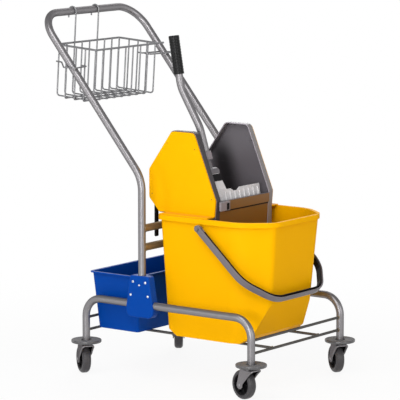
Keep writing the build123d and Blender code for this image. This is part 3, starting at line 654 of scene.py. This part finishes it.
def tyre_profile(wheel_r):
    half = tyre_w / 2
    corners = [
        (hub_r, -half + 1.2), (hub_r + 1.4, -half + 0.2), (hub_r + 2.2, -half + 0.9),
        (hub_r + 2.8, -half), (wheel_r, -half + 0.8), (wheel_r, -1.0),
    ]
    radii = [0.0, 0.3, 0.3, 0.3, tyre_round, 0.0]
    return rounded(mirrored(corners), radii + radii[::-1], closed=True, steps=10)


def hub_profile():
    corners = [
        (axle_bore_r, -boss_face), (8.4, -boss_face), (9.4, -hub_web), (25.2, -hub_web),
        (26.6, -hub_face), (hub_r, -hub_face),
    ]
    radii = [0.0, 0.8, 1.6, 2.0, 0.7, 0.5]
    return rounded(mirrored(corners), radii + radii[::-1], closed=True, steps=4)


def axle_profile(reach):
    return mirrored([
        (0.0, -reach - axle_head_h), (3.4, -reach - 1.8), (axle_head_r, -reach - 0.7),
        (axle_head_r, -reach), (axle_r, -reach),
    ])


def add_hub_ribs(bm, centre, axle, trail):
    """Adds the short ribs between the boss and the rim of a hub, on both sides."""
    for side in (-1, 1):
        for k in range(hub_rib_count):
            out = Quaternion(axle, 2 * pi * k / hub_rib_count) @ trail
            turned = Matrix((out, axle, out.cross(axle))).transposed().to_4x4()
            middle = centre + out * hub_rib_out + axle * side * hub_rib_aside
            place = Matrix.Translation(middle * mm) @ turned
            bmesh.ops.create_cube(bm, size=1.0, matrix=place @ stretched(hub_rib_size))


def leg_span(z, eye_z):
    """How far a fork leg reaches back and forward at a height."""
    if z < eye_z:
        half = sqrt(max(eye_r ** 2 - (eye_z - z) ** 2, 0.0))
        return trail_l - half, trail_l + half
    share = min((z - eye_z) / (leg_full_z - eye_z), 1.0)
    rear = trail_l - eye_r - leg_rear_spread * share ** leg_rear_curve
    return rear, trail_l + eye_r - leg_front_spread * share


def on_hood(post, trail, axle, x, y, z):
    """A place on a fork's hood, which slopes down towards its back edge."""
    fall = hood_fall * max(0.0, (hood_slope_x - x) / hood_slope_l) ** 2
    return post + trail * x + axle * y + up * (z - fall)


def hood_outline(half_w, top_z, low):
    """A hood from the foot of one leg over the middle of the crown to that of the other."""
    straight_top = top_z - hood_round
    rise = straight_top - low[-1]
    leg = [(half_w, low[-1] + rise * k / hood_leg_steps) for k in range(1, hood_leg_steps)]
    turns = [pi / 2 * k / hood_round_steps for k in range(hood_round_steps + 1)]
    flat_w = half_w - hood_round
    bend = [(flat_w + hood_round * cos(t), straight_top + hood_round * sin(t)) for t in turns]
    half = [(half_w, z) for z in low] + leg + bend + [(flat_w / 2, top_z)]
    return half + [(0.0, top_z)] + [(-y, z) for y, z in reversed(half)]


def add_hood(bm, outline, thick, place, eye_z):
    """Adds a pressed hood and gives the line of its back edge."""
    rows = []
    lip = []
    for y, z in outline:
        rear, front = leg_span(z, eye_z)
        bulge = hood_bulge * (1.0 - (y / outline[0][0]) ** 2)
        rear -= bulge
        front += bulge
        steps = [rear + (front - rear) * k / hood_columns for k in range(hood_columns + 1)]
        rows.append([bm.verts.new(on_hood(*place, x, y, z) * mm) for x in steps])
        if z > eye_z + lip_foot:
            lip.append(on_hood(*place, rear + lip_in, y * lip_narrow, z - lip_under))
    faces = []
    for first, second in zip(rows, rows[1:]):
        for k in range(hood_columns):
            faces.append(bm.faces.new((first[k], first[k + 1], second[k + 1], second[k])))
    bmesh.ops.recalc_face_normals(bm, faces=faces)
    bmesh.ops.solidify(bm, geom=faces, thickness=thick * mm)
    weld_points(bm, 0.002)
    return lip


def add_fork(bm, place, eye_z):
    """Adds two legs that narrow to the axle eyes, joined over the wheel by a rounded crown."""
    low = [eye_z - eye_r * cos(pi / 2 * k / eye_steps) for k in range(eye_steps + 1)]
    lip = add_hood(bm, hood_outline(fork_half_w, fork_top_z, low), fork_t, place, eye_z)
    round_edges(bm, sharp_edges(bm, fork_edge_angle), fork_edge_r)
    post, trail = place[:2]
    add_wire(bm, lip, lip_r, trail)
    crown = [
        (crown_bore_r, crown_low_z), (crown_r, crown_low_z), (crown_r, crown_top_z),
        (13.5, crown_top_z), (12.8, fork_top_z), (crown_bore_r, fork_top_z),
    ]
    add_spin(bm, rounded(crown, [0.0, 0.0, 1.4, 0.4, 0.3, 0.0], closed=True), post, up)


def add_shade_liner(bm, place, eye_z):
    """Adds a thin dark sheet under a fork's hood, which paints the shade inside it."""
    half_w = fork_half_w - shade_liner_inset
    outline = hood_outline(half_w, fork_top_z - shade_liner_inset, [eye_z + shade_liner_foot])
    add_hood(bm, outline, shade_liner_t, place, eye_z)


for corner in caster_corners:
    roll = joints[f"{corner}_roll"]
    wheel = Vector(roll["pos_m"]) / mm
    axle = Vector(roll["axis"]).normalized()
    trail = axle.cross(up)
    post = Vector(joints[f"{corner}_swivel"]["pos_m"]) / mm
    post.z = 0.0
    place = (post, trail, axle)

    bm = bmesh.new()
    add_spin(bm, tyre_profile(wheel.z), wheel, axle, 96)
    stand_for(f"{corner}_wheel_tyre", bm, f"{corner}_tyre")

    bm = bmesh.new()
    add_spin(bm, hub_profile(), wheel, axle, 64)
    add_hub_ribs(bm, wheel, axle, trail)
    stand_for(f"{corner}_wheel_hub", bm, f"{corner}_hub")

    bm = bmesh.new()
    add_spin(bm, axle_profile(fork_half_w), wheel, axle, 32, closed=False)
    stand_for(f"{corner}_wheel_axle", bm, f"{corner}_axle")

    bm = bmesh.new()
    add_fork(bm, place, wheel.z)
    stand_for(f"{corner}_caster_fork", bm, f"{corner}_fork")

    bm = bmesh.new()
    # A dark sheet under the hood, painted shade for the inside of the fork
    add_shade_liner(bm, place, wheel.z)
    add_detail(bm, f"{corner}_hood_shade_liner", f"{corner}_caster_fork", dark_plastic)


# Base frame
post_x = 295.0
rail_y = 222.5
tube_r = 11.0
rod_r = 4.0
rod_z = (132.5, 169.5)
support_y = 115.0
upright_x = -88.7
brace_z = (395.0, 450.0)
bumper_r = 44.4
bumper_h = 9.0


def bumper_profile():
    corners = [
        (tube_r, 0.0), (bumper_r, 0.0), (bumper_r, bumper_h), (41.4, bumper_h),
        (40.2, 8.0), (15.6, 7.6), (13.8, 3.4), (tube_r, 3.2),
    ]
    return rounded(corners, [0.0, 3.2, 3.0, 0.6, 0.6, 1.0, 1.0, 0.0], closed=True)


bm = bmesh.new()
bumper_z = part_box("post_bumpers")[0][2] / mm
for x in (-post_x, post_x):
    for y in (-rail_y, rail_y):
        add_spin(bm, bumper_profile(), (x, y, bumper_z), up, 72)
stand_for("post_bumpers", bm, "bumper_discs")

# Welds, as rows of beads round the rods and braces
rod_weld_r = 1.5
rod_weld_reach = rod_r + 0.5
support_weld_r = 1.4
support_weld_reach = rod_r + 0.3
support_weld_in = rod_r + 0.6
brace_weld_r = 1.7
brace_weld_reach = tube_r + 0.6
weld_y = rail_y - tube_r - 0.4
bm = bmesh.new()
for side in (-1, 1):
    for x in (-post_x, post_x):
        reach = rod_weld_reach
        for z in rod_z:
            ring = [(x + reach * a, side * weld_y, z + reach * b) for a, b in ring_of(12)]
            add_beads(bm, ring, rod_weld_r)
        inner = x - support_weld_in * x / post_x
        reach = support_weld_reach
        ring = [
            (inner, side * support_y + reach * a, rod_z[0] + reach * b) for a, b in ring_of(12)
        ]
        add_beads(bm, ring, support_weld_r)
    reach = brace_weld_reach
    for z in brace_z:
        ring = [
            (upright_x + reach * a, side * (rail_y - tube_r * abs(b)), z + reach * b)
            for a, b in ring_of(40)
        ]
        add_beads(bm, ring, brace_weld_r)
add_detail(bm, "weld_beads", "upper_brace")

# Screws: place in X and Z, and the radius of the head
bracket_y = rail_y + 14.0
bracket_head_h = 2.2
bracket_screws = [
    (-22.0, 297.0, 4.0), (22.0, 297.0, 4.0), (0.0, 288.0, 3.2), (-31.0, 258.0, 4.0),
    (31.0, 258.0, 4.0),
]
cover_y = 142.0
cover_head_r = 3.4
cover_head_h = 0.7
cover_screws = [(-60.0, 690.0), (38.0, 678.0), (-114.0, 540.0), (98.0, 540.0)]
bm = bmesh.new()
for side in (-1, 1):
    for x, z, r in bracket_screws:
        seat = (upright_x + x, side * (bracket_y + 0.1), z)
        add_screw(bm, seat, across * side, r, bracket_head_h)
stand_for("bracket_screws", bm, "bracket_screw_heads")
bm = bmesh.new()
for side in (-1, 1):
    for x, z in cover_screws:
        seat = (x, side * (cover_y - 0.9), z)
        add_screw(bm, seat, across * side, cover_head_r, cover_head_h)
stand_for("cover_screws", bm, "cover_screw_heads")

# Bail: a channel on its inner side, with a dark liner that paints the shade in the channel and on the bail's inner
# side
bail_pivot = Vector((86.0, 0.0, 462.0))
bail_droop = radians(42.0)
bail_arm_y = 191.0
bail_bend_r = 85.0
bail_along = Vector((cos(bail_droop), 0.0, -sin(bail_droop)))
bail_square = Vector((sin(bail_droop), 0.0, cos(bail_droop)))
bail_half = [(4.0, bail_arm_y), (208.0, bail_arm_y), (288.0, 113.0)]
bail_plan = bail_half + [(u, -v) for u, v in reversed(bail_half)]
bail_corners = [bail_pivot + bail_along * u + across * v for u, v in bail_plan]
bail_path = rounded(bail_corners, bail_bend_r, steps=16)
bail_section = rounded(
    [
        (3.8, 9.0), (6.0, 9.0), (6.0, -10.0), (-6.0, -10.0), (-6.0, 10.0), (-1.4, 10.0),
        (-1.4, -3.0), (3.8, -3.0),
    ],
    [0.7, 1.0, 4.5, 5.4, 2.2, 1.0, 0.8, 0.8], closed=True,
)
bail_eye = rounded(
    [(4.05, -6.0), (10.0, -6.0), (10.0, 6.0), (4.05, 6.0)], [0.4, 2.6, 2.6, 0.4], closed=True,
)
bm = bmesh.new()
add_sweep(bm, bail_path, bail_section, bail_square)
for side in (-1, 1):
    add_spin(bm, bail_eye, bail_pivot + across * side * bail_arm_y, across * side)
stand_for("bail_handle", bm, "bail")

bail_shade_start = bail_path[0].lerp(bail_path[1], 0.1)
bail_shade_end = bail_path[-1].lerp(bail_path[-2], 0.1)
bail_shade_section = [
    (-1.3, -3.1), (-1.3, -2.4), (3.5, -2.4), (3.5, 9.15), (6.15, 9.15), (6.15, -7.0),
    (5.9, -7.0), (5.9, 8.9), (3.75, 8.9), (3.75, -3.1),
]
bm = bmesh.new()
add_sweep(bm, [bail_shade_start] + bail_path[1:-1] + [bail_shade_end], bail_shade_section, bail_square)
face_outward(bm)
add_detail(bm, "bail_shade_liner", "bail_handle", dark_plastic)

# Lever grip with shallow grooves
lever_y = -68.2
grip_top = Vector((-90.5, lever_y, 986.0))
grip_way = (grip_top - Vector((-66.0, lever_y, 844.0))).normalized()
grip_l = 112.0
grip_r = 15.5
grip_on_tube = 107.0
groove_count = 12
groove = [(-2.2, 0.0), (-1.5, 0.12), (-0.8, 0.6), (0.8, 0.6), (1.5, 0.12), (2.2, 0.0)]
grip_profile = [(0.0, 0.0), (grip_r - 1.4, 0.0), (grip_r - 0.4, 0.4), (grip_r, 1.4)]
for k in range(groove_count):
    middle = (k + 1) * grip_on_tube / (groove_count + 1)
    grip_profile += [(grip_r - depth, middle + away) for away, depth in groove]
grip_profile += [
    (grip_r, grip_l - 2.4), (grip_r - 0.7, grip_l - 0.7), (grip_r - 2.4, grip_l), (0.0, grip_l),
]
bm = bmesh.new()
add_spin(bm, grip_profile, grip_top - grip_way * grip_on_tube, grip_way, 56, closed=False)
stand_for("lever_grip", bm, "ribbed_grip")

# Domed cap on the shaft
pivot = Vector(joints["lever_pull"]["pos_m"]) / mm
cap_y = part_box("shaft_retainer")[0][1] / mm
cap = rounded(
    [(0.0, 4.0), (6.0, 4.0), (12.4, 1.6), (12.4, 0.0), (0.0, 0.0)], [0.0, 5.0, 1.0, 0.4, 0.0],
)
bm = bmesh.new()
add_spin(bm, cap, (pivot.x, cap_y, pivot.z), across, 40, closed=False)
stand_for("shaft_retainer", bm, "shaft_cap")

# Dark block over the top of the press plate's riser, which paints the shade below the hub
shade_block_side = [(57.4, 602.4), (68.8, 583.4), (63.0, 580.0), (51.8, 598.8)]
shade_block_half_w = 21.0
shade_block_soft = 0.8
bm = bmesh.new()
add_prism(bm, shade_block_side, lever_y - shade_block_half_w, lever_y + shade_block_half_w, shade_block_soft)
add_detail(bm, "riser_shade_block", "press_plate", dark_plastic)

# Collar round the lever's socket
lever_way = Vector((2.0, 0.0, 733.0)) - Vector((pivot.x, 0.0, pivot.z))
collar = rounded(
    [(14.05, 37.0), (15.0, 37.0), (15.0, 61.0), (14.05, 61.0)], [0.0, 0.6, 0.6, 0.0],
    closed=True,
)
bm = bmesh.new()
add_spin(bm, collar, (pivot.x, lever_y, pivot.z), lever_way, 40)
face_outward(bm)
add_detail(bm, "lever_collar", "lever_hub", latch_plastic)

# Half-round ribs of the press plate
plate_top = Vector((78.0, 0.0, 558.0))
plate_fall = Vector((94.0, 0.0, 452.0)) - plate_top
plate_out = Vector((-plate_fall.z, 0.0, plate_fall.x)).normalized()
rib_count = 10
rib_pitch = 22.4
rib_r = 2.6
rib_steps = 10
rib_start = plate_top + plate_fall * 0.09 + plate_out * 6.6
rib_run = plate_fall * 0.8
bm = bmesh.new()
for k in range(rib_count):
    start = rib_start + across * ((k - (rib_count - 1) / 2) * rib_pitch)
    path = [start + rib_run * i / rib_steps for i in range(rib_steps + 1)]
    add_wire(bm, path, rib_r, across)
face_outward(bm)
add_detail(bm, "press_plate_ribs", "press_plate")

# Dark strip under the crossbar, which paints the shadow line below it
shadow_strip_centre = (110.4, 12.0, 503.8)
shadow_strip_size = (1.8, 212.0, 4.4)
shadow_strip_soft = 0.4
bm = bmesh.new()
add_block(bm, shadow_strip_centre, shadow_strip_size, shadow_strip_soft)
add_detail(bm, "crossbar_shadow_strip", "wringer_chute", dark_plastic)

# Release button in the latch
latch_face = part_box("wringer_latch")[1][0] / mm
button_centre = (latch_face - 1.6, -93.4, 517.4)
button_size = (4.0, 12.4, 18.6)
button_soft = 0.5
bm = bmesh.new()
add_block(bm, button_centre, button_size, button_soft)
add_detail(bm, "latch_button", "rear_hooks")

# Basket welds
handle_rise = 451.0
handle_lean = radians(39.7)
bar_x = upright_x - handle_rise * tan(handle_lean)
bar_z = 1044.0
basket_tilt = radians(3.8)
basket_l = 137.0
basket_w = 283.0
wire_r = 2.25
basket_rear = bar_x + tube_r + 0.2 + wire_r
basket_front = basket_rear + basket_l
basket_rim = bar_z - 92.0
basket_base = basket_rim - 150.0
basket_side_y = 146.4
spot_r = 2.4
long_gaps = 8
cross_gaps = 4


def in_basket(x, y, z):
    """A place on the basket once it hangs at its tilt."""
    turn = Matrix.Rotation(basket_tilt, 3, "Y")
    bar = Vector((bar_x, 0.0, bar_z))
    return bar + turn @ (Vector((x, y, z)) - bar)


long_y = [-basket_w / 2 + k * basket_w / long_gaps for k in range(long_gaps + 1)]
cross_x = [basket_rear + basket_l * k / cross_gaps for k in range(1, cross_gaps)]
end_x = (basket_rear - spot_r, basket_front + spot_r)
spots = [(x, y, basket_base - wire_r) for x in cross_x for y in long_y]
spots += [(x, y, basket_rim) for y in long_y for x in end_x]
spots += [(x, side * basket_side_y, basket_rim - 3.0) for x in cross_x for side in (-1, 1)]
bm = bmesh.new()
add_beads(bm, [in_basket(*spot) for spot in spots], spot_r)
add_detail(bm, "basket_spot_welds", "basket_rim")


# Camera and lamps
camera = bpy.data.objects.new("camera", bpy.data.cameras.new("camera"))
camera.data.sensor_width = 36.0
camera.data.lens = 242.9
camera.data.clip_end = 100.0
camera.location = (4.5779, -6.2219, 1.6492)
camera.rotation_euler = (radians(90.0 - 8.36), 0.0, radians(36.63))
bpy.context.scene.collection.objects.link(camera)
bpy.context.scene.camera = camera
bpy.context.scene.view_settings.view_transform = "Standard"

aim = Vector((0.0, 0.0, 0.5))


def softbox(name, place, wide, high, power):
    """An oblong lamp that faces the trolley."""
    lamp = bpy.data.lights.new(name, "AREA")
    lamp.shape = "RECTANGLE"
    lamp.size = wide
    lamp.size_y = high
    lamp.energy = power
    holder = bpy.data.objects.new(name, lamp)
    holder.location = place
    holder.rotation_euler = (aim - Vector(place)).to_track_quat("-Z", "Y").to_euler()
    bpy.context.scene.collection.objects.link(holder)


softbox("key_lamp", (2.2, -3.7, 2.9), 1.6, 1.6, 56.0)
softbox("low_lamp", (1.5, -4.7, 0.6), 1.6, 1.1, 66.0)
softbox("side_lamp", (-1.7, -4.6, 1.4), 0.9, 2.2, 22.0)
softbox("fill_lamp", (4.5, -1.0, 1.4), 2.2, 2.4, 40.0)
softbox("top_lamp", (0.3, -2.3, 3.7), 1.8, 1.8, 62.0)
softbox("back_lamp", (-2.0, 3.6, 2.8), 2.4, 2.4, 76.0)

# Backdrop and floor
white = paint(1.0, 1.0, 1.0)
sky_level = 0.34
ceiling_level = 0.3
ceiling_start = 0.2
ceiling_full = 0.7
floor_r = 40.0
shadow_r = 0.5
clear_r = 1.8
shadow_share = 0.09


def seen_rays(tree):
    """1 for rays that show the backdrop itself: straight, in gloss and through glass."""
    path = tree.nodes.new("ShaderNodeLightPath")
    most = path.outputs["Is Camera Ray"]
    for ray in ("Is Glossy Ray", "Is Transmission Ray"):
        larger = tree.nodes.new("ShaderNodeMath")
        larger.operation = "MAXIMUM"
        tree.links.new(most, larger.inputs[0])
        tree.links.new(path.outputs[ray], larger.inputs[1])
        most = larger.outputs[0]
    return most


def light_sky():
    """A white backdrop, darker overhead in reflections, that lights the trolley softly."""
    backdrop = bpy.data.worlds.new("backdrop")
    backdrop.use_nodes = True
    bpy.context.scene.world = backdrop
    tree = backdrop.node_tree
    sky = tree.nodes["Background"]
    sky.inputs["Color"].default_value = white
    way = tree.nodes.new("ShaderNodeTexCoord")
    height = tree.nodes.new("ShaderNodeSeparateXYZ")
    tree.links.new(way.outputs["Generated"], height.inputs[0])
    ceiling = tree.nodes.new("ShaderNodeMapRange")
    ceiling.interpolation_type = "SMOOTHSTEP"
    ceiling.inputs["From Min"].default_value = ceiling_start
    ceiling.inputs["From Max"].default_value = ceiling_full
    ceiling.inputs["To Min"].default_value = 1.0
    ceiling.inputs["To Max"].default_value = ceiling_level
    tree.links.new(height.outputs["Z"], ceiling.inputs["Value"])
    level = tree.nodes.new("ShaderNodeMapRange")
    level.inputs["To Min"].default_value = sky_level
    tree.links.new(ceiling.outputs[0], level.inputs["To Max"])
    tree.links.new(seen_rays(tree), level.inputs["Value"])
    tree.links.new(level.outputs[0], sky.inputs["Strength"])


def lay_floor():
    """A wide white floor that keeps a faint shadow near the trolley."""
    bm = bmesh.new()
    bmesh.ops.create_circle(bm, cap_ends=True, segments=96, radius=floor_r)
    floor = piece_from(bm, "floor")
    f = Finish("white_floor")
    radius = f.node("ShaderNodeVectorMath", {"operation": "LENGTH"}, {0: f.place}, "Value")
    paper = f.mix(f.noise(60.0, 3.0), paint(0.8, 0.8, 0.8), paint(0.84, 0.84, 0.84))
    matt = f.node("ShaderNodeBsdfDiffuse", None, {"Color": paper})
    glow = f.node("ShaderNodeEmission", None, {"Color": white, "Strength": 1.0})
    clear = f.step(radius, shadow_r, clear_r) * shadow_share + (1.0 - shadow_share)
    share = Value(f, seen_rays(f.tree)) * clear
    clad(floor, f.show(f.node("ShaderNodeMixShader", None, {0: share, 1: matt, 2: glow})))


light_sky()
lay_floor()
